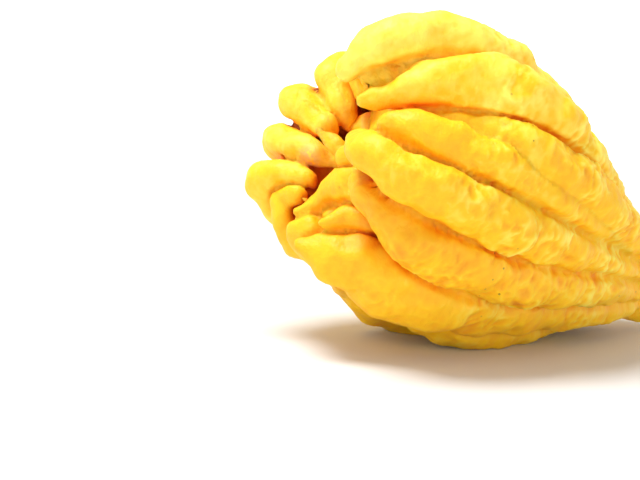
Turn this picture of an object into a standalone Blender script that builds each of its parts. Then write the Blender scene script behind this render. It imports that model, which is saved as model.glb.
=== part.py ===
"""Buddha's hand citron of the closed kind, picked and lying on its belly.

One fruit: a narrow neck at the stem opens into a ribbed palm, and its segments part into
long fingers that curl back in over a shallow mouth. A small calyx with its cut stalk sits at
the end of the neck. Metres, +Z up. The stem end points to +X and the mouth to -X, and the
fullest side faces -Y. The origin is under the middle of the fruit's box, on the surface it
lies on.

A finger is a row of stations (along, out, around, girth): millimetres along the fruit's axis
from where the neck begins, millimetres out from the axis, degrees round it (0 above, 90 on the
-Y side, 180 below), and the finger's radius there in millimetres.
"""
import math

import bmesh
import bpy
from mathutils import Matrix, Vector

MM = 0.001

# ---- overall sizes, millimetres
FRUIT_LENGTH = 208.0    # end of the neck to the farthest knuckle, along the axis
FRUIT_WIDTH = 120.0     # across the fist, square to the axis
FINGER_FULLNESS = 1.0   # every finger's girth is multiplied by this
DRAWN_LENGTH = 208.0    # the stations below are written for a fruit this long
DRAWN_WIDTH = 120.0     # and this wide

# ---- how it lies
REST_TILT = 21.5        # degrees the mouth end is raised above the stem end
REST_ROLL = -2.5        # degrees it is rolled round its axis, towards the -Y side
SETTLE_DEPTH = 2.6      # how far its weight flattens the rind where it touches, millimetres

# ---- the end of the neck and what is on it, millimetres
NECK_END = -20.0        # the neck ends flat here, along the axis
NECK_RISE = 1.0         # the neck's end is this far above the axis
CALYX_GAP = 0.3         # clearance between the neck and the calyx
CALYX_RADIUS = 5.6
CALYX_THICKNESS = 1.8
CALYX_LOBES = 5
STALK_RADIUS = 2.9
STALK_LENGTH = 5.5

# ---- mesh fineness, millimetres
SKIN_CELL = 2.0         # cell size that the fingers are fused at
FRUIT_TRIANGLES = 11000

FINGERS = {
    # the -Y side, from the top down
    "top": [(22, 13, 30, 8), (52, 24, 28, 8.5), (90, 40, 24, 9), (122, 49.5, 22, 9.8),
            (148, 51, 22, 10.3), (165, 46, 22, 10), (178, 38, 24, 9.2), (184, 31, 27, 7.8),
            (186, 25, 30, 5.4)],
    "second": [(22, 13, 62, 8), (54, 29, 61, 8.5), (84, 43, 57, 8.8), (108, 51, 52, 9.8),
               (131, 54, 49, 11.5), (149, 47, 47, 11.3), (163, 39, 48, 9.8),
               (172, 30, 51, 7.4), (178, 24, 55, 5), (181, 22, 58, 3.2)],
    "third": [(20, 14, 76, 8), (60, 37, 74, 8.5), (98, 51, 72, 9), (123, 53, 71, 9.4),
              (141, 46, 69, 9.2), (155, 37, 68, 7.4), (165, 31, 70, 5.2)],
    "third_lobe": [(56, 32, 84, 8), (96, 46, 82, 9), (124, 50, 81, 9.5), (145, 48, 80, 9.4),
                   (160, 43, 80, 8.6), (170, 38, 80, 7.2), (175, 34, 81, 5)],
    "fourth": [(20, 13, 88, 8), (60, 32, 92, 10), (92, 43, 97, 11), (120, 50, 99, 11.5),
               (142, 52, 100, 10.4), (160, 50, 101, 9.8), (172, 44, 101, 9.2),
               (180, 35, 99, 7.6), (180, 27, 97, 5.6)],
    "fifth": [(20, 13, 113, 8), (58, 33, 113, 9), (84, 42, 117, 10), (106, 48, 121, 11),
              (126, 50, 122, 11.5), (145, 50, 123, 10.6), (160, 47, 122, 9.3),
              (169, 38, 121, 7.2), (170, 28, 122, 5)],
    "lower": [(16, 12, 140, 8), (44, 25, 143, 9.5), (74, 37, 144, 11), (102, 46, 145, 12.5),
              (127, 50, 147, 14), (145, 49, 152, 14), (158, 47, 158, 12), (168, 46, 164, 8),
              (174, 46, 170, 4)],
    # underneath
    "keel": [(2, 11, 180, 6.5), (14, 12.5, 178, 8), (38, 21, 171, 9.5), (66, 34.8, 166, 12),
             (90, 44.3, 163, 13), (108, 47.5, 165, 12.5), (126, 43, 170, 11),
             (145, 41, 178, 9)],
    "keel_far": [(14, 11, 200, 8), (40, 25, 204, 11), (66, 40, 204, 13), (88, 48, 203, 13.5),
                 (106, 53, 200, 13), (124, 50, 196, 11.5), (145, 45, 190, 9)],
    # the +Y side, curling over into the mouth, from below up
    "curl_five": [(18, 14, 222, 10), (50, 36, 220, 13), (84, 46, 217, 13), (118, 47, 211, 11.5),
                  (145, 47, 205, 9.5), (162, 46, 204, 6.6), (171, 41, 209, 5.3),
                  (172, 36, 212, 4.8), (171, 30, 205, 3.8)],
    "curl_four": [(18, 16, 240, 11), (50, 38, 240, 13.5), (84, 47, 238, 13),
                  (118, 47, 234, 11.5), (146, 48, 228, 10.4), (164, 47, 226, 7.6),
                  (175, 42, 230, 7), (174, 32, 228, 6), (169, 25, 214, 4)],
    "curl_three": [(18, 16, 263, 11), (50, 38, 262, 13.5), (84, 47, 260, 13),
                   (118, 47, 258, 11.5), (146, 48, 257, 10.6), (165, 46, 257, 8.2),
                   (172, 41, 256, 7.1), (170, 30, 250, 6.5), (167, 22, 240, 4.8),
                   (164, 17, 228, 2.8)],
    "curl_two": [(18, 16, 288, 11), (50, 37, 287, 13), (84, 46, 285, 12.5), (118, 47, 283, 11.5),
                 (144, 47, 281, 10.6), (161, 48, 281, 8.3), (170, 42, 280, 7.4),
                 (168, 33, 278, 7), (165, 24, 273, 5.2)],
    "curl_one": [(18, 14, 312, 10), (52, 34, 311, 12), (86, 43, 309, 12), (118, 46, 307, 11.5),
                 (144, 46, 306, 10.5), (159, 44, 305, 8), (164, 39, 302, 7.2),
                 (163, 30, 296, 6), (160, 24, 287, 3.6)],
    "back_one": [(20, 14, 335, 9), (56, 30, 334, 11), (90, 40, 333, 11.5), (120, 44, 332, 11.5),
                 (142, 43, 331, 10.5), (156, 38, 330, 8.5), (165, 30, 328, 6),
                 (163, 22, 325, 4)],
    "back_two": [(20, 13, 0, 9), (50, 24, 359, 9), (90, 39, 358, 10.5), (122, 45, 357, 11),
                 (148, 44, 357, 10.5), (164, 37, 359, 8), (172, 28, 4, 6), (170, 20, 10, 4)],
    # small fingers inside the mouth
    "inner_one": [(120, 12, 120, 8), (150, 14, 140, 7), (164, 10, 155, 5.8),
                  (172, 7, 235, 4.2), (173, 13, 262, 2.9)],
    "inner_two": [(120, 18, 110, 8), (150, 18, 116, 6.5), (165, 13, 122, 5.5),
                  (169, 10, 142, 4.4), (168, 8, 200, 3)],
    "inner_three": [(115, 22, 130, 9), (145, 26, 129, 9), (162, 23, 130, 8),
                    (165, 20, 162, 7.4), (168, 26, 183, 5.4), (172, 34, 189, 3.2)],
    "inner_four": [(115, 28, 145, 10), (143, 33, 144, 9), (157, 31, 149, 7.8),
                   (165, 33, 156, 5.8), (170, 36, 161, 3.4)],
    "inner_five": [(112, 33, 38, 13), (132, 38, 37, 12), (148, 38, 39, 10), (167, 34, 42, 5),
                   (177, 29, 40, 3.4), (182, 24, 38, 2.8)],
    "inner_six": [(115, 26, 172, 13), (140, 34, 173, 12), (154, 39, 175, 10.5),
                  (163, 41, 178, 9), (167, 38, 184, 7.5)],
    "inner_seven": [(115, 24, 236, 12), (145, 30, 238, 11), (157, 33, 236, 9),
                    (163, 32, 234, 6.4)],
    "inner_eight": [(140, 28, 156, 9), (155, 29, 162, 8), (163, 30, 170, 6.4)],
    "inner_nine": [(115, 34, 10, 12), (140, 36, 10, 11), (156, 34, 10, 9),
                   (165, 30, 12, 6.5)],
}
PALM = [(-20, 1, 0, 5.5), (-14, 2, 0, 8.5), (-7, 3, 0, 12), (3, 3, 0, 15), (14, 2, 0, 18),
        (27, 2, 270, 22), (42, 4, 250, 28), (60, 4, 240, 35), (80, 3, 240, 41),
        (102, 1, 240, 41), (120, 2, 240, 38), (135, 5, 240, 33), (146, 7, 238, 27),
        (153, 8, 230, 18), (156, 8, 225, 11)]


def clear_scene():
    for item in list(bpy.data.objects):
        bpy.data.objects.remove(item, do_unlink=True)


def material(name, colour, roughness):
    made = bpy.data.materials.new(name)
    made.use_nodes = True
    shader = made.node_tree.nodes["Principled BSDF"]
    shader.inputs["Base Color"].default_value = (*colour, 1.0)
    shader.inputs["Roughness"].default_value = roughness
    shader.inputs["Metallic"].default_value = 0.0
    return made


def fruit_axes():
    """The fruit's own directions: along the axis, above it, and towards -Y."""
    tilt, roll = math.radians(REST_TILT), math.radians(REST_ROLL)
    along = Vector((-math.cos(tilt), 0.0, math.sin(tilt)))
    level_above = Vector((math.sin(tilt), 0.0, math.cos(tilt)))
    level_side = Vector((0.0, -1.0, 0.0))
    above = math.cos(roll) * level_above - math.sin(roll) * level_side
    side = math.sin(roll) * level_above + math.cos(roll) * level_side
    return along, above, side


def place(along_mm, out_mm, around_deg):
    """A station's point in metres, from the axis's zero in the neck."""
    along, above, side = fruit_axes()
    turn = math.radians(around_deg)
    length = along_mm * FRUIT_LENGTH / DRAWN_LENGTH
    out = out_mm * FRUIT_WIDTH / DRAWN_WIDTH
    return MM * (length * along + out * (math.cos(turn) * above + math.sin(turn) * side))


def tube(name, stations, fullness=1.0):
    """A finger as a mesh: a smooth curve through its stations, bevelled to its girth."""
    curve = bpy.data.curves.new(name, "CURVE")
    curve.dimensions = "3D"
    curve.resolution_u = 6
    curve.bevel_depth = MM
    curve.bevel_resolution = 5
    curve.use_fill_caps = True
    spline = curve.splines.new("BEZIER")
    spline.bezier_points.add(len(stations) - 1)
    spline.radius_interpolation = "CARDINAL"
    for point, (along, out, around, girth) in zip(spline.bezier_points, stations):
        point.co = place(along, out, around)
        point.radius = girth * fullness
        point.handle_left_type = point.handle_right_type = "AUTO"
    holder = bpy.data.objects.new(name, curve)
    bpy.context.scene.collection.objects.link(holder)
    graph = bpy.context.evaluated_depsgraph_get()
    mesh = bpy.data.meshes.new_from_object(holder.evaluated_get(graph), depsgraph=graph)
    mesh.transform(holder.matrix_world)
    bpy.data.objects.remove(holder, do_unlink=True)
    return mesh


def add_tube(bm, name, stations, round_start, fullness=1.0):
    """Adds a finger to bm, with a round tip, and a round start where it is asked for."""
    mesh = tube(name, stations, fullness)
    fresh = bmesh.new()
    fresh.from_mesh(mesh)
    bmesh.ops.remove_doubles(fresh, verts=fresh.verts, dist=0.00001)
    ends = [stations[-1]] + ([stations[0]] if round_start else [])
    for along, out, around, girth in ends:
        bmesh.ops.create_icosphere(fresh, subdivisions=3, radius=girth * fullness * MM,
                                   matrix=Matrix.Translation(place(along, out, around)))
    whole = bpy.data.meshes.new(name + "_whole")
    fresh.to_mesh(whole)
    fresh.free()
    bm.from_mesh(whole)
    bpy.data.meshes.remove(whole)
    bpy.data.meshes.remove(mesh)


def with_modifiers(mesh, add_modifiers):
    """The mesh as it comes out of the modifiers that add_modifiers puts on it."""
    holder = bpy.data.objects.new(mesh.name, mesh)
    bpy.context.scene.collection.objects.link(holder)
    add_modifiers(holder)
    graph = bpy.context.evaluated_depsgraph_get()
    made = bpy.data.meshes.new_from_object(holder.evaluated_get(graph), depsgraph=graph)
    bpy.data.objects.remove(holder, do_unlink=True)
    return made


def keep_outer_shell(mesh):
    """Removes the small closed pockets that are left between fingers, inside the flesh."""
    bm = bmesh.new()
    bm.from_mesh(mesh)
    left = set(bm.verts)
    shells = []
    while left:
        shell = {left.pop()}
        edge = set(shell)
        while edge:
            edge = {e.other_vert(v) for v in edge for e in v.link_edges} - shell
            shell |= edge
        left -= shell
        shells.append(shell)
    shells.sort(key=len)
    inner = [vert for shell in shells[:-1] for vert in shell]
    bmesh.ops.delete(bm, geom=inner, context="VERTS")
    bm.to_mesh(mesh)
    bm.free()


def fuse(name, bm, cell, smoothing, triangles):
    """Fuses everything in bm into one closed skin and brings it to that many triangles."""
    mesh = bpy.data.meshes.new(name)
    bm.to_mesh(mesh)
    bm.free()

    def join_up(holder):
        remesh = holder.modifiers.new("fuse", "REMESH")
        remesh.mode = "VOXEL"
        remesh.voxel_size = cell * MM
        soften = holder.modifiers.new("soften", "SMOOTH")
        soften.factor = 0.5
        soften.iterations = smoothing

    fused = with_modifiers(mesh, join_up)
    keep_outer_shell(fused)

    def make_lighter(holder):
        thin = holder.modifiers.new("thin", "DECIMATE")
        thin.ratio = min(1.0, triangles / (2.0 * len(fused.polygons)))
        thin.use_collapse_triangulate = True

    light = with_modifiers(fused, make_lighter)
    light.name = name
    return light


def flatten_neck(mesh):
    """The neck ends in one flat round, square to the axis."""
    along = fruit_axes()[0]
    end = NECK_END * FRUIT_LENGTH / DRAWN_LENGTH * MM
    for vert in mesh.vertices:
        reach = vert.co.dot(along)
        if reach < end + 0.9 * MM:
            vert.co += (end - reach) * along


def stem_button():
    """The calyx with its five lobes, and the cut stalk on it, as one closed body."""
    along = fruit_axes()[0]
    bm = bmesh.new()
    bmesh.ops.create_circle(bm, cap_ends=True, segments=40, radius=CALYX_RADIUS * 0.8 * MM)
    profile = [   # rise, radius, how deep the lobes are
        (0.35 * CALYX_THICKNESS, CALYX_RADIUS, 0.13),
        (0.75 * CALYX_THICKNESS, CALYX_RADIUS * 0.95, 0.13),
        (CALYX_THICKNESS, CALYX_RADIUS * 0.8, 0.08),
        (CALYX_THICKNESS + 0.5, STALK_RADIUS * 1.15, 0.0),
        (CALYX_THICKNESS + 1.5, STALK_RADIUS, 0.0),
        (CALYX_THICKNESS + STALK_LENGTH - 0.6, STALK_RADIUS * 0.94, 0.0),
        (CALYX_THICKNESS + STALK_LENGTH, STALK_RADIUS * 0.8, 0.0),
    ]
    face = bm.faces[:][0]
    for rise, radius, depth in profile:
        drawn = bmesh.ops.extrude_discrete_faces(bm, faces=[face])["faces"][0]
        for vert in drawn.verts:
            turn = math.atan2(vert.co.y, vert.co.x)
            reach = radius * (1.0 + depth * math.cos(CALYX_LOBES * turn))
            vert.co = Vector((reach * math.cos(turn), reach * math.sin(turn), rise)) * MM
        face = drawn
    bmesh.ops.contextual_create(bm, geom=[e for e in bm.edges if e.is_boundary])
    bmesh.ops.recalc_face_normals(bm, faces=bm.faces)
    foot = place(NECK_END, NECK_RISE, 0) - CALYX_GAP * MM * along
    turn = (-along).to_track_quat("Z", "Y").to_matrix().to_4x4()
    bmesh.ops.transform(bm, matrix=Matrix.Translation(foot) @ turn, verts=bm.verts)
    mesh = bpy.data.meshes.new("stem_button")
    bm.to_mesh(mesh)
    bm.free()
    return mesh


def add_node(name, mesh, look):
    node = bpy.data.objects.new(name, mesh)
    mesh.materials.clear()
    mesh.materials.append(look)
    for face in mesh.polygons:
        face.use_smooth = True
    bpy.context.scene.collection.objects.link(node)
    return node


clear_scene()
rind = material("rind", (0.87, 0.50, 0.03), 0.45)
stalk = material("stalk", (0.20, 0.19, 0.05), 0.75)

fingers = bmesh.new()
add_tube(fingers, "palm", PALM, round_start=False)
for finger_name, finger_stations in FINGERS.items():
    add_tube(fingers, finger_name, finger_stations, True, FINGER_FULLNESS)
fruit_mesh = fuse("fruit", fingers, SKIN_CELL, 2, FRUIT_TRIANGLES)
flatten_neck(fruit_mesh)
button_mesh = stem_button()

# down onto the surface: the lowest rind flattens there, and the box is centred on the origin
lowest = min(vert.co.z for vert in fruit_mesh.vertices) + SETTLE_DEPTH * MM
corners = [vert.co for mesh in (fruit_mesh, button_mesh) for vert in mesh.vertices]
middle_x = (min(c.x for c in corners) + max(c.x for c in corners)) / 2.0
middle_y = (min(c.y for c in corners) + max(c.y for c in corners)) / 2.0
shift = Matrix.Translation((-middle_x, -middle_y, -lowest))
for mesh in (fruit_mesh, button_mesh):
    mesh.transform(shift)
for vert in fruit_mesh.vertices:
    vert.co.z = max(vert.co.z, 0.0)

add_node("fruit", fruit_mesh, rind)
add_node("stem_button", button_mesh, stalk)
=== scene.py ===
"""Looks of a buddha's hand citron of the closed kind, lying on its belly.

The skin is grown again at a finer grain than the CAD solid, round the same fingers: the fused
shape, then its lumps, pleats and pits as real relief, and a waxy rind over it.
"""

import math

import bmesh
import bpy
import numpy as np
from mathutils import Matrix, Vector, noise
from mathutils.bvhtree import BVHTree


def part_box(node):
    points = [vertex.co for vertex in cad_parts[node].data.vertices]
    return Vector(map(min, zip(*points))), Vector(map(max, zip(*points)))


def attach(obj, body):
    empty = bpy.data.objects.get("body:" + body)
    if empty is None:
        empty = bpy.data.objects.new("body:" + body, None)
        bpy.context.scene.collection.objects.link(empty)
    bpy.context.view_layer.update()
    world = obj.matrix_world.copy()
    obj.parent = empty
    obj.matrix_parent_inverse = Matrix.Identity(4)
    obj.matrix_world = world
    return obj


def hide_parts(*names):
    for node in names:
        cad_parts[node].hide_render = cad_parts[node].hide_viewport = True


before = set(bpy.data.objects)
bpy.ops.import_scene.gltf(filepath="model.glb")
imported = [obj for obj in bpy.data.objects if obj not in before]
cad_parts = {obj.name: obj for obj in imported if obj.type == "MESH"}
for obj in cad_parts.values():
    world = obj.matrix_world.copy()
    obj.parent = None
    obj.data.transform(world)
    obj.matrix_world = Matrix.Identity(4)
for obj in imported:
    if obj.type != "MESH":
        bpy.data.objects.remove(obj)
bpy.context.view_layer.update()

MM = 0.001

# ---- how the fruit lies, as in the CAD
REST_TILT = 21.5        # degrees the mouth end is raised above the stem end
REST_ROLL = -2.5        # degrees it is rolled round its axis
NECK_END = -20.0        # the neck ends flat here, along the axis, millimetres
NECK_RISE = 1.0         # the neck's end is this far above the axis
CALYX_GAP = 0.3         # clearance between the neck and the calyx

# A station is (along, out, around, girth): millimetres along the axis, millimetres out from
# it, degrees round it (0 above, 90 on the -Y side), and the finger's radius in millimetres.
FINGERS = {
    # the -Y side, from the top down
    "top": [(22, 13, 30, 8), (52, 24, 28, 8.5), (90, 40, 24, 9), (122, 49.5, 22, 9.8),
            (148, 51, 22, 10.3), (165, 46, 22, 10), (178, 38, 24, 9.2), (184, 31, 27, 7.8),
            (186, 25, 30, 5.4)],
    "second": [(22, 13, 62, 8), (54, 29, 61, 8.5), (84, 43, 57, 8.8), (108, 51, 52, 9.8),
               (131, 54, 49, 11.5), (149, 47, 47, 11.3), (163, 39, 48, 9.8),
               (172, 30, 51, 7.4), (178, 24, 55, 5), (181, 22, 58, 3.2)],
    "third": [(20, 14, 76, 8), (60, 37, 74, 8.5), (98, 51, 72, 9), (123, 53, 71, 9.4),
              (141, 46, 69, 9.2), (155, 37, 68, 7.4), (165, 31, 70, 5.2)],
    "third_lobe": [(56, 32, 84, 8), (96, 46, 82, 9), (124, 50, 81, 9.5), (145, 48, 80, 9.4),
                   (160, 43, 80, 8.6), (170, 38, 80, 7.2), (175, 34, 81, 5)],
    "fourth": [(20, 13, 88, 8), (60, 32, 92, 10), (92, 43, 97, 11), (120, 50, 99, 11.5),
               (142, 52, 100, 10.4), (160, 50, 101, 9.8), (172, 44, 101, 9.2),
               (180, 35, 99, 7.6), (180, 27, 97, 5.6)],
    "fifth": [(20, 13, 113, 8), (58, 33, 113, 9), (84, 42, 117, 10), (106, 48, 121, 11),
              (126, 50, 122, 11.5), (145, 50, 123, 10.6), (160, 47, 122, 9.3),
              (169, 38, 121, 7.2), (170, 28, 122, 5)],
    "lower": [(16, 12, 140, 8), (44, 25, 143, 9.5), (74, 37, 144, 11), (102, 46, 145, 12.5),
              (127, 50, 147, 14), (145, 49, 152, 14), (158, 47, 158, 12), (168, 46, 164, 8),
              (174, 46, 170, 4)],
    # underneath
    "keel": [(2, 11, 180, 6.5), (14, 12.5, 178, 8), (38, 21, 171, 9.5), (66, 34.8, 166, 12),
             (90, 44.3, 163, 13), (108, 47.5, 165, 12.5), (126, 43, 170, 11),
             (145, 41, 178, 9)],
    "keel_far": [(14, 11, 200, 8), (40, 25, 204, 11), (66, 40, 204, 13), (88, 48, 203, 13.5),
                 (106, 53, 200, 13), (124, 50, 196, 11.5), (145, 45, 190, 9)],
    # the +Y side, curling over into the mouth, from below up
    "curl_five": [(18, 14, 222, 10), (50, 36, 220, 13), (84, 46, 217, 13), (118, 47, 211, 11.5),
                  (145, 47, 205, 9.5), (162, 46, 204, 6.6), (171, 41, 209, 5.3),
                  (172, 36, 212, 4.8), (171, 30, 205, 3.8)],
    "curl_four": [(18, 16, 240, 11), (50, 38, 240, 13.5), (84, 47, 238, 13),
                  (118, 47, 234, 11.5), (146, 48, 228, 10.4), (164, 47, 226, 7.6),
                  (175, 42, 230, 7), (174, 32, 228, 6), (169, 25, 214, 4)],
    "curl_three": [(18, 16, 263, 11), (50, 38, 262, 13.5), (84, 47, 260, 13),
                   (118, 47, 258, 11.5), (146, 48, 257, 10.6), (165, 46, 257, 8.2),
                   (172, 41, 256, 7.1), (170, 30, 250, 6.5), (167, 22, 240, 4.8),
                   (164, 17, 228, 2.8)],
    "curl_two": [(18, 16, 288, 11), (50, 37, 287, 13), (84, 46, 285, 12.5), (118, 47, 283, 11.5),
                 (144, 47, 281, 10.6), (161, 48, 281, 8.3), (170, 42, 280, 7.4),
                 (168, 33, 278, 7), (165, 24, 273, 5.2)],
    "curl_one": [(18, 14, 312, 10), (52, 34, 311, 12), (86, 43, 309, 12), (118, 46, 307, 11.5),
                 (144, 46, 306, 10.5), (159, 44, 305, 8), (164, 39, 302, 7.2),
                 (163, 30, 296, 6), (160, 24, 287, 3.6)],
    "back_one": [(20, 14, 335, 9), (56, 30, 334, 11), (90, 40, 333, 11.5), (120, 44, 332, 11.5),
                 (142, 43, 331, 10.5), (156, 38, 330, 8.5), (165, 30, 328, 6),
                 (163, 22, 325, 4)],
    "back_two": [(20, 13, 0, 9), (50, 24, 359, 9), (90, 39, 358, 10.5), (122, 45, 357, 11),
                 (148, 44, 357, 10.5), (164, 37, 359, 8), (172, 28, 4, 6), (170, 20, 10, 4)],
    # small fingers inside the mouth
    "inner_one": [(120, 12, 120, 8), (150, 14, 140, 7), (164, 10, 155, 5.8),
                  (172, 7, 235, 4.2), (173, 13, 262, 2.9)],
    "inner_two": [(120, 18, 110, 8), (150, 18, 116, 6.5), (165, 13, 122, 5.5),
                  (169, 10, 142, 4.4), (168, 8, 200, 3)],
    "inner_three": [(115, 22, 130, 9), (145, 26, 129, 9), (162, 23, 130, 8),
                    (165, 20, 162, 7.4), (168, 26, 183, 5.4), (172, 34, 189, 3.2)],
    "inner_four": [(115, 28, 145, 10), (143, 33, 144, 9), (157, 31, 149, 7.8),
                   (165, 33, 156, 5.8), (170, 36, 161, 3.4)],
    "inner_five": [(112, 33, 38, 13), (132, 38, 37, 12), (148, 38, 39, 10), (167, 34, 42, 5),
                   (177, 29, 40, 3.4), (182, 24, 38, 2.8)],
    "inner_six": [(115, 26, 172, 13), (140, 34, 173, 12), (154, 39, 175, 10.5),
                  (163, 41, 178, 9), (167, 38, 184, 7.5)],
    "inner_seven": [(115, 24, 236, 12), (145, 30, 238, 11), (157, 33, 236, 9),
                    (163, 32, 234, 6.4)],
    "inner_eight": [(140, 28, 156, 9), (155, 29, 162, 8), (163, 30, 170, 6.4)],
    "inner_nine": [(115, 34, 10, 12), (140, 36, 10, 11), (156, 34, 10, 9),
                   (165, 30, 12, 6.5)],
}
PALM = [(-20, 1, 0, 5.5), (-14, 2, 0, 8.5), (-7, 3, 0, 12), (3, 3, 0, 15), (14, 2, 0, 18),
        (27, 2, 270, 22), (42, 4, 250, 28), (60, 4, 240, 35), (80, 3, 240, 41),
        (102, 1, 240, 41), (120, 2, 240, 38), (135, 5, 240, 33), (146, 7, 238, 27),
        (153, 8, 230, 18), (156, 8, 225, 11)]

SKIN_CELL = 1.2         # the cell that the fine skin is fused at, millimetres


# ------------------------------------------------------------------ the fused skin
def fruit_axes():
    """The fruit's own directions: along the axis, above it, and towards -Y."""
    tilt, roll = math.radians(REST_TILT), math.radians(REST_ROLL)
    along = Vector((-math.cos(tilt), 0.0, math.sin(tilt)))
    level_above = Vector((math.sin(tilt), 0.0, math.cos(tilt)))
    level_side = Vector((0.0, -1.0, 0.0))
    above = math.cos(roll) * level_above - math.sin(roll) * level_side
    side = math.sin(roll) * level_above + math.cos(roll) * level_side
    return along, above, side


ALONG, ABOVE, SIDE = fruit_axes()


def place(along_mm, out_mm, around_deg):
    """A station's point in metres, from the axis's zero in the neck."""
    turn = math.radians(around_deg)
    return MM * (along_mm * ALONG + out_mm * (math.cos(turn) * ABOVE + math.sin(turn) * SIDE))


def in_scene(name, data):
    """A new object in the scene that holds the mesh, curve, lamp or camera."""
    made = bpy.data.objects.new(name, data)
    bpy.context.scene.collection.objects.link(made)
    return made


def finished_mesh(holder):
    """The object's mesh as its modifiers leave it. The object itself is removed."""
    graph = bpy.context.evaluated_depsgraph_get()
    made = bpy.data.meshes.new_from_object(holder.evaluated_get(graph), depsgraph=graph)
    bpy.data.objects.remove(holder, do_unlink=True)
    return made


def fused(mesh, cell_mm, softenings):
    """The mesh fused into one skin of cells of that size, and softened."""
    holder = in_scene(mesh.name, mesh)
    remesh = holder.modifiers.new("fuse", "REMESH")
    remesh.mode = "VOXEL"
    remesh.voxel_size = cell_mm * MM
    soften = holder.modifiers.new("soften", "SMOOTH")
    soften.factor = 0.5
    soften.iterations = softenings
    return finished_mesh(holder)


def tube(name, stations, bevel):
    """A smooth curve through the stations, bevelled to their girth, or bare, as a mesh."""
    curve = bpy.data.curves.new(name, "CURVE")
    curve.dimensions = "3D"
    curve.resolution_u = 12
    curve.bevel_depth = MM if bevel else 0.0
    curve.bevel_resolution = 10
    curve.use_fill_caps = True
    spline = curve.splines.new("BEZIER")
    spline.bezier_points.add(len(stations) - 1)
    spline.radius_interpolation = "CARDINAL"
    for point, (along, out, around, girth) in zip(spline.bezier_points, stations):
        point.co = place(along, out, around)
        point.radius = girth
        point.handle_left_type = point.handle_right_type = "AUTO"
    return finished_mesh(in_scene(name, curve))


def add_tube(bm, name, stations, round_start):
    """Adds a finger to bm, with a round tip, and a round start where it is asked for."""
    mesh = tube(name, stations, bevel=True)
    fresh = bmesh.new()
    fresh.from_mesh(mesh)
    bmesh.ops.remove_doubles(fresh, verts=fresh.verts, dist=0.00001)
    ends = [stations[-1]] + ([stations[0]] if round_start else [])
    for along, out, around, girth in ends:
        bmesh.ops.create_icosphere(fresh, subdivisions=4, radius=girth * MM,
                                   matrix=Matrix.Translation(place(along, out, around)))
    fresh.to_mesh(mesh)
    fresh.free()
    bm.from_mesh(mesh)
    bpy.data.meshes.remove(mesh)


def keep_outer_shell(mesh):
    """Removes the closed pockets between fingers, inside the flesh."""
    bm = bmesh.new()
    bm.from_mesh(mesh)
    left = set(bm.verts)
    shells = []
    while left:
        shell = {left.pop()}
        edge = set(shell)
        while edge:
            edge = {e.other_vert(v) for v in edge for e in v.link_edges} - shell
            shell |= edge
        left -= shell
        shells.append(shell)
    shells.sort(key=len)
    inner = [vert for shell in shells[:-1] for vert in shell]
    bmesh.ops.delete(bm, geom=inner, context="VERTS")
    bm.to_mesh(mesh)
    bm.free()


def fused_skin():
    """The palm and every finger as one closed skin, before its relief."""
    bm = bmesh.new()
    add_tube(bm, "palm", PALM, round_start=False)
    for name, stations in FINGERS.items():
        add_tube(bm, name, stations, round_start=True)
    mesh = bpy.data.meshes.new("fruit_skin")
    bm.to_mesh(mesh)
    bm.free()
    skin = fused(mesh, SKIN_CELL, 3)
    skin.name = "fruit_skin"
    keep_outer_shell(skin)
    return skin


def points_of(mesh):
    flat = np.empty(len(mesh.vertices) * 3)
    mesh.vertices.foreach_get("co", flat)
    return flat.reshape(-1, 3)


def set_points(mesh, points):
    mesh.vertices.foreach_set("co", points.astype(np.float32).ravel())
    mesh.update()


def normals_of(mesh):
    flat = np.empty(len(mesh.vertices) * 3)
    mesh.vertices.foreach_get("normal", flat)
    return flat.reshape(-1, 3)


# ------------------------------------------------------------------ where on a finger
def finger_lines():
    """Every finger's centre line, a row for each point: the point, its direction, the girth,
    the finger's number, and how far along the finger it is, in millimetres and as a share."""
    rows = []
    for number, (name, stations) in enumerate(FINGERS.items()):
        mesh = tube(name, stations, bevel=False)
        line = points_of(mesh) / MM
        bpy.data.meshes.remove(mesh)
        step = np.linalg.norm(np.diff(line, axis=0), axis=1)
        reach = np.concatenate([[0.0], np.cumsum(step)])
        knots = np.array([place(*s[:3]) for s in stations]) / MM
        knot_at = [reach[np.argmin(np.linalg.norm(line - k, axis=1))] for k in knots]
        girth = np.interp(reach, knot_at, [s[3] for s in stations])
        heading = np.gradient(line, axis=0)
        heading /= np.linalg.norm(heading, axis=1)[:, None]
        for i in range(len(line)):
            rows.append((*line[i], *heading[i], girth[i], number, reach[i], reach[i] / reach[-1]))
    return np.array(rows)


def nearest_on_fingers(points, lines):
    """For each point in millimetres: the row of the centre line it belongs to, and how much
    farther off the next finger is, which is 0 along the groove between two fingers, and
    whether those two are one forked finger."""
    starts = np.flatnonzero(np.diff(lines[:, 7], prepend=-1.0))
    best = np.empty(len(points), int)
    spare = np.empty(len(points))
    forked = np.empty(len(points), bool)
    for start in range(0, len(points), 3000):
        block = points[start:start + 3000]
        off = np.linalg.norm(block[:, None, :] - lines[None, :, :3], axis=2) - lines[None, :, 6]
        best[start:start + 3000] = np.argmin(off, axis=1)
        each = np.minimum.reduceat(off, starts, axis=1)
        two = np.argpartition(each, 1, axis=1)[:, :2]
        nearby = np.take_along_axis(each, two, axis=1)
        spare[start:start + 3000] = np.abs(nearby[:, 1] - nearby[:, 0])
        forked[start:start + 3000] = np.isin(two, FORK).all(axis=1)
    return best, spare, forked


def fade(value, low, high):
    """0 below low, 1 above high, smooth between."""
    t = np.clip((value - low) / (high - low), 0.0, 1.0)
    return t * t * (3.0 - 2.0 * t)


def noise_at(places):
    """Perlin noise, mostly within 0.4 of zero, at each row of places."""
    return np.array([noise.noise(p) for p in places.tolist()])


def cells_at(places):
    """Distance to the nearest and the second nearest of scattered points."""
    near = np.array([noise.voronoi(p)[0][:2] for p in places.tolist()])
    return near[:, 0], near[:, 1]


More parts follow.
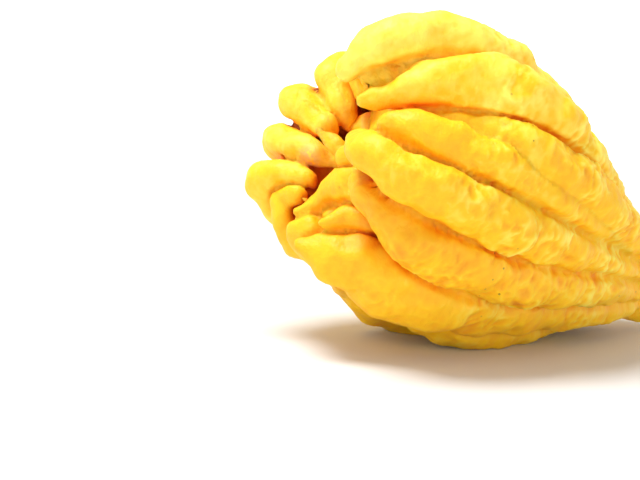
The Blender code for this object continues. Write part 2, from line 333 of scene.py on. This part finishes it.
# marks: the finger they are on, a station in them, their radius in millimetres, and how
# strong they are
MARKS = {"green_tip": ("inner_one", (173, 13, 262), 11.0, 0.55),
         "scar": ("curl_three", (170, 22, 236), 7.0, 0.75),
         "shoulder_green": (None, (-20, 2, 60), 22.0, 1.0)}
GROOVE_DEPTH = 2.4      # millimetres that the grooves between fingers are sunk
GROOVE_WIDTH = 1.7
FORK = [list(FINGERS).index(name) for name in ("third", "third_lobe")]
ROUGHNESS_OF = {"fifth": 1.15, "fourth": 0.9, "third": 0.7, "third_lobe": 0.75, "lower": 0.65,
                "top": 0.45, "second": 0.55}    # of the others 0.5
ROOT_SMOOTHNESS = 0.5   # what is left of the roughness where the fingers leave the palm
# how far each finger's colour is from the middle one: orange below 0, lemon above it; partly each
# finger's own ripeness, partly painted light, the top and second fingers made lemon for the light
# that falls on them from above
TONE_AND_LIGHT_OF = {"top": 0.32, "second": 0.17, "third": -0.02, "third_lobe": -0.04, "fourth": 0.0,
           "fifth": -0.14, "lower": -0.06, "keel": 0.06, "keel_far": 0.0,
           "inner_one": -0.45, "inner_three": -0.15, "inner_four": -0.12, "inner_six": -0.2,
           "curl_one": 0.15, "curl_two": 0.15, "curl_three": 0.18, "curl_four": 0.12}


# widths of the relief's features, millimetres: along the finger and round it, or one width
LUMPS = (16.0, 8.0)
DIMPLE = (4.4, 5.6)
SMALL_DIMPLE = (2.7, 3.3)
PLEAT = (2.5, 8.5)
WARP = 6.5              # how widely the rows of dimples and pleats wander
MEAN_GIRTH = 9.5        # turns an angle round a finger into millimetres


def relief(points, lines):
    """How far the rind stands out or in at each point, in millimetres, its fine part alone,
    the number of the finger that the point is on, and its place along and round that finger."""
    best, spare, forked = nearest_on_fingers(points, lines)
    rows = lines[best]
    centre, heading, girth, finger = rows[:, :3], rows[:, 3:6], rows[:, 6], rows[:, 7]
    outward = points - centre
    ahead = np.sum(outward * heading, axis=1)
    length = rows[:, 8] / np.maximum(rows[:, 9], 1e-6)
    reach = rows[:, 8] + ahead
    share = np.clip(rows[:, 9] + ahead / np.maximum(length, 1.0), 0.0, 1.0)
    outward -= heading * ahead[:, None]
    outward /= np.maximum(np.linalg.norm(outward, axis=1), 1e-6)[:, None]
    # the turn round the finger, from the side that faces away from the fruit's axis
    foot = centre - np.outer(centre @ np.array(ALONG), np.array(ALONG))
    away = foot / np.maximum(np.linalg.norm(foot, axis=1), 1e-6)[:, None]
    across = np.cross(heading, away)
    turn = np.arctan2(np.sum(outward * across, axis=1), np.sum(outward * away, axis=1))
    round_mm = turn * MEAN_GIRTH

    rootward = 1.0 - fade(share, 0.50, 0.92)
    own = np.array([ROUGHNESS_OF.get(name, 0.5) for name in FINGERS])[finger.astype(int)]
    patch = 0.55 + 0.9 * fade(noise_at(points / 24.0 + 3.0), -0.25, 0.3)
    rough = own * patch * (0.22 + 0.78 * rootward)
    rough *= ROOT_SMOOTHNESS + (1.0 - ROOT_SMOOTHNESS) * fade(share, 0.08, 0.42)

    lumps = noise_at(points / LUMPS[0]) * 2.6 + noise_at(points / LUMPS[1] + 31.0) * 1.5
    warp = noise_at(points / WARP + 7.0)
    warp_two = noise_at(points / WARP + 19.0)
    # dimples with raised walls between them, a little wider round the finger than along it
    near, second = cells_at(np.stack([reach / DIMPLE[0] + 0.9 * warp,
                                      round_mm / DIMPLE[1] + 0.9 * warp_two,
                                      finger * 5.3], axis=1))
    dimples = 0.55 * (1.0 - fade(second - near, 0.0, 0.38)) - 0.75 * (1.0 - fade(near, 0.0, 0.6))
    near, second = cells_at(np.stack([reach / SMALL_DIMPLE[0] + 0.6 * warp_two,
                                      round_mm / SMALL_DIMPLE[1] + 0.6 * warp,
                                      finger * 7.7], axis=1))
    small = 0.5 * (1.0 - fade(second - near, 0.0, 0.4)) - 0.6 * (1.0 - fade(near, 0.0, 0.6))
    # pleats across the finger
    pleat = noise_at(np.stack([reach / PLEAT[0] + 1.2 * warp,
                               round_mm / PLEAT[1] + 0.5 * warp_two, finger * 3.1], axis=1))
    pleats = 0.30 - 1.6 * np.abs(pleat)
    fine = rough * (0.8 * dimples + 0.42 * small + 0.6 * pleats * fade(share, 0.1, 0.35))
    fine += noise_at(points / 2.6) * 0.2
    neck = fade(points @ np.array(ALONG), NECK_END + 3.0, NECK_END + 26.0)
    groove = -GROOVE_DEPTH * np.exp(-(spare / GROOVE_WIDTH) ** 2) * neck
    groove *= np.where(forked, 0.15 + 0.45 * fade(share, 0.6, 0.8), 1.0)
    grain = np.stack([reach, round_mm, finger * 17.0], axis=1)
    return lumps + fine + groove, fine, finger, grain


SHADE_REACH = 0.026     # how far a point looks for rind that shades it, metres
SHADE_RAYS = 20
BUTTON_CELL = 0.22      # the cell that the stem button's skin is fused at, millimetres
BARK_DEPTH = 0.55       # of the ridges along the stalk, as a share of the noise behind them


def occlusion(mesh, reach_m, rays):
    """The share of rays from each point that meet the fruit itself again within reach_m."""
    tree = BVHTree.FromPolygons([v.co for v in mesh.vertices],
                                [p.vertices for p in mesh.polygons])
    golden = math.pi * (3.0 - math.sqrt(5.0))
    sphere = []
    for i in range(rays):
        z = 1.0 - (2.0 * i + 1.0) / rays
        flat = math.sqrt(1.0 - z * z)
        sphere.append(Vector((flat * math.cos(golden * i), flat * math.sin(golden * i), z)))
    shade = np.zeros(len(mesh.vertices))
    for vert in mesh.vertices:
        normal = vert.normal
        start = vert.co + normal * 0.0004
        met = sum(tree.ray_cast(start, (normal * 1.02 + d).normalized(), reach_m)[0] is not None
                  for d in sphere)
        shade[vert.index] = met / rays
    return shade


def evened(mesh, values, rounds):
    """The values, each averaged with its neighbours along the edges a few times."""
    ends = np.empty(len(mesh.edges) * 2, int)
    mesh.edges.foreach_get("vertices", ends)
    ends = ends.reshape(-1, 2)
    count = np.bincount(ends.ravel(), minlength=len(values))
    for _ in range(rounds):
        total = np.bincount(ends[:, 0], values[ends[:, 1]], len(values))
        total += np.bincount(ends[:, 1], values[ends[:, 0]], len(values))
        values = 0.5 * values + 0.5 * total / np.maximum(count, 1)
    return values


def paint(mesh, name, values):
    """Keeps a value, or a row of three, for each point, for the materials to read."""
    values = np.asarray(values, dtype=np.float32)
    if values.ndim == 1:
        mesh.attributes.new(name, "FLOAT", "POINT").data.foreach_set("value", values)
    else:
        mesh.attributes.new(name, "FLOAT_VECTOR", "POINT").data.foreach_set(
            "vector", values.ravel())


def smooth_piece(name, mesh, material):
    """A smooth-shaded piece of that mesh and material."""
    mesh.materials.clear()
    mesh.materials.append(material)
    for face in mesh.polygons:
        face.use_smooth = True
    return in_scene(name, mesh)


def grown_fruit():
    """The fruit's skin with its relief and marks, where the CAD has it, and how far it was
    moved to get there."""
    skin = fused_skin()
    low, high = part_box("fruit")
    points = points_of(skin)
    # the CAD's place: the same middle, and the same height at the top, which isn't flattened
    middle = (points.min(axis=0) + points.max(axis=0)) / 2.0
    shift = np.array([(low[0] + high[0]) / 2.0 - middle[0], (low[1] + high[1]) / 2.0 - middle[1],
                      high[2] - points[:, 2].max()])
    height, fine, finger, grain = relief(points / MM, finger_lines())
    neck = fade(points @ np.array(ALONG) / MM, NECK_END + 2.0, NECK_END + 12.0)
    points = points + normals_of(skin) * (height * neck * MM)[:, None]
    points = points + shift
    points[:, 2] = np.maximum(points[:, 2], 0.0)
    set_points(skin, points)
    paint(skin, "grain", grain)
    # the fine relief's height, which the rind's colour turns into painted shade in the dimples
    # and a painted highlight on the raised walls
    paint(skin, "fine", fine)
    # painted shade: the share of rays that meet the fruit again, which darkens the rind's colour
    # in the grooves and deep in the mouth
    paint(skin, "shade", evened(skin, occlusion(skin, SHADE_REACH, SHADE_RAYS), 2))
    names = list(FINGERS)
    # each finger's tone, partly painted light: the uppermost fingers lemon for the light from
    # above
    tone = np.array([TONE_AND_LIGHT_OF.get(name, 0.0) for name in names])[finger.astype(int)]
    tone *= 0.25 + 0.75 * fade(grain[:, 0], 30.0, 120.0)
    paint(skin, "tone", evened(skin, tone, 16))
    for name, (on, station, size, strength) in MARKS.items():
        spot = place(*station) / MM
        off = np.linalg.norm((points - shift) / MM - np.array(spot), axis=1)
        on_it = 1.0 if on is None else (finger == names.index(on))
        paint(skin, name, strength * on_it * (1.0 - fade(off, 0.35 * size, size)))
    return smooth_piece("fruit_skin", skin, rind_material()), shift


# ------------------------------------------------------------------ materials
def linear(hex_colour):
    """An sRGB hex colour as the linear RGBA that shaders take."""
    parts = [int(hex_colour[i:i + 2], 16) / 255.0 for i in (1, 3, 5)]
    return tuple(p / 12.92 if p <= 0.04045 else ((p + 0.055) / 1.055) ** 2.4
                 for p in parts) + (1.0,)


def add(tree, kind, links=None, **settings):
    """Adds a node. settings are its properties or, by name or inputs_number, input values;
    links go to its inputs."""
    node = tree.nodes.new(kind)
    for key, value in settings.items():
        if hasattr(node, key):
            setattr(node, key, value)
        elif key.startswith("inputs_"):
            node.inputs[int(key[7:])].default_value = value
        else:
            node.inputs[key.replace("_", " ")].default_value = value
    for key, output in (links or {}).items():
        tree.links.new(output, node.inputs[key])
    return node


def stops(ramp, *colours):
    """Sets a colour ramp's stops: (position, hex)."""
    elements = ramp.color_ramp.elements
    while len(elements) < len(colours):
        elements.new(1.0)
    for element, (position, colour) in zip(elements, colours):
        element.position = position
        element.color = linear(colour)


def new_material(name):
    made = bpy.data.materials.new(name)
    made.use_nodes = True
    return made, made.node_tree, made.node_tree.nodes["Principled BSDF"]


def rind_material():
    """Citron rind: bright yellow and waxy, with oil glands under a thin gloss; a painted
    highlight makes it paler on the raised walls, and painted shade makes it orange in the dimples
    and grooves and brown deep in the mouth; green where it ripened last."""
    made, tree, shader = new_material("citron_rind")
    where = add(tree, "ShaderNodeTexCoord").outputs["Object"]

    def drawn(name):
        return add(tree, "ShaderNodeAttribute", attribute_name=name).outputs["Fac"]

    def blend(factor, under, over):
        mixed = add(tree, "ShaderNodeMix", {0: factor, 6: under}, data_type="RGBA",
                    inputs_7=linear(over))
        return mixed.outputs[2]

    # colour by height: painted shade, orange in the dimples, and a painted highlight, pale on the
    # raised walls, in blotches about 17 mm across that are the rind's own tone
    lift = add(tree, "ShaderNodeMapRange", {"Value": drawn("fine")}, From_Min=-0.9,
               From_Max=0.8)
    blotch = add(tree, "ShaderNodeTexNoise", {"Vector": where}, Scale=1000.0 / 17.0, Detail=3.0)
    sway = add(tree, "ShaderNodeMath", {0: blotch.outputs["Fac"]}, operation="MULTIPLY_ADD",
               inputs_1=0.6, inputs_2=-0.30)
    level = add(tree, "ShaderNodeMath", {0: lift.outputs["Result"], 1: sway.outputs["Value"]},
                operation="ADD")
    # adds each finger's tone, partly painted light: the top and second fingers lemon for the
    # light from above
    own = add(tree, "ShaderNodeMath", {0: level.outputs["Value"], 1: drawn("tone")},
              operation="ADD")
    tone = add(tree, "ShaderNodeValToRGB", {"Fac": own.outputs["Value"]})
    stops(tone, (0.02, "#EE9808"), (0.30, "#F8AF0C"), (0.62, "#FCC614"), (0.98, "#FFE862"))
    # painted shade: deeper orange in the grooves, where more of the fruit hides each point, then
    # brown deep in the mouth
    painted_crease_shade = add(tree, "ShaderNodeValToRGB", {"Fac": drawn("shade")})
    stops(painted_crease_shade, (0.32, "#FFFFFF"), (0.62, "#FFE4A8"), (0.86, "#F79C3C"), (0.99, "#8E4512"))
    tone_with_painted_shade = add(tree, "ShaderNodeMix", {6: tone.outputs["Color"], 7: painted_crease_shade.outputs["Color"]},
                  data_type="RGBA", blend_type="MULTIPLY", inputs_0=1.0)
    colour = tone_with_painted_shade.outputs[2]
    # green where it ripened last, at one small tip and round the stem
    colour = blend(drawn("green_tip"), colour, "#9A9A22")
    mottle = add(tree, "ShaderNodeTexNoise", {"Vector": where}, Scale=1000.0 / 6.0, Detail=4.0)
    greening = add(tree, "ShaderNodeMath",
                   {0: drawn("shoulder_green"), 1: mottle.outputs["Fac"]}, operation="MULTIPLY")
    colour = blend(greening.outputs["Value"], colour, "#A8A022")
    # a corky scar, pinkish brown and broken up
    cork = add(tree, "ShaderNodeTexNoise", {"Vector": where}, Scale=1000.0 / 1.8, Detail=3.0)
    broken = add(tree, "ShaderNodeMapRange", {"Value": cork.outputs["Fac"]}, From_Min=0.30,
                 From_Max=0.50)
    scarred = add(tree, "ShaderNodeMath", {0: drawn("scar"), 1: broken.outputs["Result"]},
                  operation="MULTIPLY")
    colour = blend(scarred.outputs["Value"], colour, "#D99A62")
    # a few dark specks, under a millimetre across, where it has rubbed
    speck = add(tree, "ShaderNodeTexVoronoi", {"Vector": where}, Scale=1000.0 / 7.0)
    dot = add(tree, "ShaderNodeMapRange", {"Value": speck.outputs["Distance"]}, From_Min=0.05,
              From_Max=0.085, To_Min=1.0, To_Max=0.0)
    few = add(tree, "ShaderNodeTexNoise", {"Vector": where}, Scale=1000.0 / 30.0)
    chosen = add(tree, "ShaderNodeMapRange", {"Value": few.outputs["Fac"]}, From_Min=0.52,
                 From_Max=0.60, To_Max=0.75)
    marked = add(tree, "ShaderNodeMath", {0: dot.outputs["Result"],
                                          1: chosen.outputs["Result"]}, operation="MULTIPLY")
    colour = blend(marked.outputs["Value"], colour, "#7A5A18")
    tree.links.new(colour, shader.inputs["Base Color"])
    # oil glands, about a millimetre apart, over fine wrinkles across the finger
    gland = add(tree, "ShaderNodeTexVoronoi", {"Vector": where}, Scale=1000.0 / 1.1)
    pores = add(tree, "ShaderNodeBump", {"Height": gland.outputs["Distance"]},
                Strength=0.35, Distance=0.0002)
    grain = add(tree, "ShaderNodeAttribute", attribute_name="grain").outputs["Vector"]
    stretch = add(tree, "ShaderNodeMapping", {"Vector": grain}, Scale=(1 / 1.6, 1 / 3.0, 1.0))
    wrinkle = add(tree, "ShaderNodeTexNoise", {"Vector": stretch.outputs["Vector"]}, Scale=1.0,
                  Detail=2.0, Distortion=0.6)
    bump = add(tree, "ShaderNodeBump", {"Height": wrinkle.outputs["Fac"],
                                        "Normal": pores.outputs["Normal"]},
               Strength=0.5, Distance=0.0006)
    tree.links.new(bump.outputs["Normal"], shader.inputs["Normal"])
    shader.inputs["Roughness"].default_value = 0.54
    shader.inputs["Specular IOR Level"].default_value = 0.35
    shader.inputs["Subsurface Weight"].default_value = 0.18
    shader.inputs["Subsurface Radius"].default_value = (1.0, 0.45, 0.08)
    shader.inputs["Subsurface Scale"].default_value = 0.004
    return made


def stalk_material():
    """Dried calyx and cut stalk: grey-green bark with brown streaks, and pale wood in rings
    where it was cut."""
    made, tree, shader = new_material("dried_citrus_stalk")
    grain = add(tree, "ShaderNodeAttribute", attribute_name="grain").outputs["Vector"]
    cut = add(tree, "ShaderNodeAttribute", attribute_name="cut").outputs["Fac"]
    streak = add(tree, "ShaderNodeMapping", {"Vector": grain}, Scale=(0.35, 2.2, 1.0))
    fibre = add(tree, "ShaderNodeTexNoise", {"Vector": streak.outputs["Vector"]}, Scale=1.0,
                Detail=4.0)
    bark = add(tree, "ShaderNodeValToRGB", {"Fac": fibre.outputs["Fac"]})
    stops(bark, (0.30, "#4A4420"), (0.48, "#6F6B33"), (0.62, "#8F8A48"), (0.80, "#A99A5E"))
    # growth rings, about half a millimetre apart
    ring = add(tree, "ShaderNodeSeparateXYZ", {"Vector": grain})
    wave = add(tree, "ShaderNodeMath", {0: ring.outputs["Z"]}, operation="MULTIPLY",
               inputs_1=2.0 * math.pi / 0.5)
    rings = add(tree, "ShaderNodeMath", {0: wave.outputs["Value"]}, operation="SINE")
    wood = add(tree, "ShaderNodeValToRGB",
               {"Fac": add(tree, "ShaderNodeMapRange", {"Value": rings.outputs["Value"]},
                           From_Min=-1.0, From_Max=1.0).outputs["Result"]})
    stops(wood, (0.0, "#A68A57"), (1.0, "#CDB682"))
    both = add(tree, "ShaderNodeMix", {0: cut, 6: bark.outputs["Color"],
                                       7: wood.outputs["Color"]}, data_type="RGBA")
    tree.links.new(both.outputs[2], shader.inputs["Base Color"])
    bump = add(tree, "ShaderNodeBump", {"Height": fibre.outputs["Fac"]},
               Strength=0.6, Distance=0.0003)
    tree.links.new(bump.outputs["Normal"], shader.inputs["Normal"])
    shader.inputs["Roughness"].default_value = 0.8
    return made


# ------------------------------------------------------------------ the stem button
def weathered_button(shift):
    """The calyx and the cut stalk, dried: wrinkled along the stalk and puckered at the lobes."""
    source = bpy.data.objects["stem_button"].data.copy()
    merged = bmesh.new()
    merged.from_mesh(source)
    bmesh.ops.remove_doubles(merged, verts=merged.verts, dist=0.000001)
    merged.to_mesh(source)
    merged.free()
    button = fused(source, BUTTON_CELL, 2)
    button.name = "stem_button_dried"
    points = points_of(button)
    local = (points - shift) / MM
    along = local @ np.array(ALONG) - NECK_END           # 0 at the neck's end, less outside it
    axis = np.array(place(NECK_END, NECK_RISE, 0.0)) / MM
    flat = local - axis - np.outer(along, np.array(ALONG))
    radius = np.linalg.norm(flat, axis=1)
    turn = np.arctan2(flat @ np.array(SIDE), flat @ np.array(ABOVE))
    ring = np.stack([np.cos(turn) * 3.0, np.sin(turn) * 3.0, along * 0.25], axis=1)
    ridges = noise_at(ring * 1.3) * 0.55 + noise_at(ring * 3.1) * 0.25
    pucker = noise_at(local / 1.3) * 0.22
    end = along.min()
    cut = 1.0 - fade(along, end + 0.25, end + 0.55)
    height = (ridges * (1.0 - cut) + pucker) * fade(-along, CALYX_GAP + 0.1, CALYX_GAP + 0.9)
    set_points(button, points + normals_of(button) * (height * BARK_DEPTH * MM)[:, None])
    paint(button, "grain", np.stack([along, turn * 3.0, radius], axis=1))
    paint(button, "cut", cut)
    return smooth_piece("stem_button_dried", button, stalk_material())


# ------------------------------------------------------------------ build
fruit, shift = grown_fruit()
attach(fruit, "root")
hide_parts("fruit")
button = weathered_button(shift)
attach(button, "root")
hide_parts("stem_button")


# ------------------------------------------------------------------ stage, light, camera
COVE_FLOOR = 2.2        # radius of the floor, metres
COVE_STEPS = ((1.04, 0.02), (1.03, 0.06), (1.02, 0.14), (1.01, 0.40))
CAMERA_PLACE = (-0.39924, -0.50119, 0.12723)
CAMERA_AZIMUTH = -31.694
CAMERA_ELEVATION = 8.221
CAMERA_ROLL = 3.613
WORLD_GLOW = 0.50       # the even light of the room


def staging():
    """A round white cove: a floor that curves up into a bright wall."""
    bm = bmesh.new()
    bmesh.ops.create_circle(bm, cap_ends=True, segments=96, radius=COVE_FLOOR,
                            matrix=Matrix.Translation((0.0, 0.0, -0.0002)))
    rim = [e for e in bm.edges if e.is_boundary]
    for out, up in COVE_STEPS:
        made = bmesh.ops.extrude_edge_only(bm, edges=rim)["geom"]
        verts = [v for v in made if isinstance(v, bmesh.types.BMVert)]
        rim = [e for e in made if isinstance(e, bmesh.types.BMEdge)]
        bmesh.ops.scale(bm, verts=verts, vec=(out, out, 1.0))
        bmesh.ops.translate(bm, verts=verts, vec=(0.0, 0.0, up))
    for face in bm.faces:
        face.smooth = True
    bmesh.ops.recalc_face_normals(bm, faces=bm.faces)
    mesh = bpy.data.meshes.new("studio_cove")
    bm.to_mesh(mesh)
    bm.free()
    cove = in_scene("studio_cove", mesh)
    made, tree, shader = new_material("white_cove_paint")
    shader.inputs["Base Color"].default_value = linear("#E4E4E4")
    shader.inputs["Roughness"].default_value = 0.9
    far = add(tree, "ShaderNodeVectorMath",
              {0: add(tree, "ShaderNodeTexCoord").outputs["Object"]}, operation="LENGTH")
    glow = add(tree, "ShaderNodeMapRange", {"Value": far.outputs["Value"]},
               From_Min=0.25, From_Max=1.5, To_Max=0.85)
    shader.inputs["Emission Color"].default_value = (1.0, 1.0, 1.0, 1.0)
    tree.links.new(glow.outputs["Result"], shader.inputs["Emission Strength"])
    mesh.materials.append(made)


def area_light(name, place_at, look_at, size, power):
    """A round soft lamp at place_at, turned to look_at: metres and watts."""
    lamp = bpy.data.lights.new(name, "AREA")
    lamp.shape = "DISK"
    lamp.size = size
    lamp.energy = power
    holder = in_scene(name, lamp)
    holder.location = place_at
    holder.rotation_mode = "QUATERNION"
    holder.rotation_quaternion = (Vector(look_at) - Vector(place_at)).to_track_quat("-Z", "Y")


def camera():
    """Looks down a little at the mouth and the -Y side, with a slight roll."""
    data = bpy.data.cameras.new("camera")
    data.lens = 90.0
    data.sensor_width = 36.0
    data.clip_start = 0.01
    holder = in_scene("camera", data)
    turn, lift, roll = (math.radians(v) for v in (CAMERA_AZIMUTH, CAMERA_ELEVATION, CAMERA_ROLL))
    back = Vector((math.cos(lift) * math.sin(turn), -math.cos(lift) * math.cos(turn),
                   math.sin(lift)))
    level = Vector((math.cos(turn), math.sin(turn), 0.0))
    upright = back.cross(level)
    right = math.cos(roll) * level + math.sin(roll) * upright
    up = back.cross(right)
    holder.matrix_world = Matrix((right, up, back)).transposed().to_4x4()
    holder.matrix_world.translation = Vector(CAMERA_PLACE)
    bpy.context.scene.camera = holder


staging()
area_light("key", (-0.42, 0.14, 1.24), (0.0, 0.0, 0.06), 0.6, 19.0)
area_light("fill", (-0.2, -1.2, 0.5), (0.0, 0.0, 0.06), 0.9, 0.4)
camera()
world = bpy.data.worlds.new("studio")
world.use_nodes = True
world.node_tree.nodes["Background"].inputs["Color"].default_value = (1.0, 1.0, 1.0, 1.0)
world.node_tree.nodes["Background"].inputs["Strength"].default_value = WORLD_GLOW
bpy.context.scene.world = world
bpy.context.scene.view_settings.view_transform = "Standard"
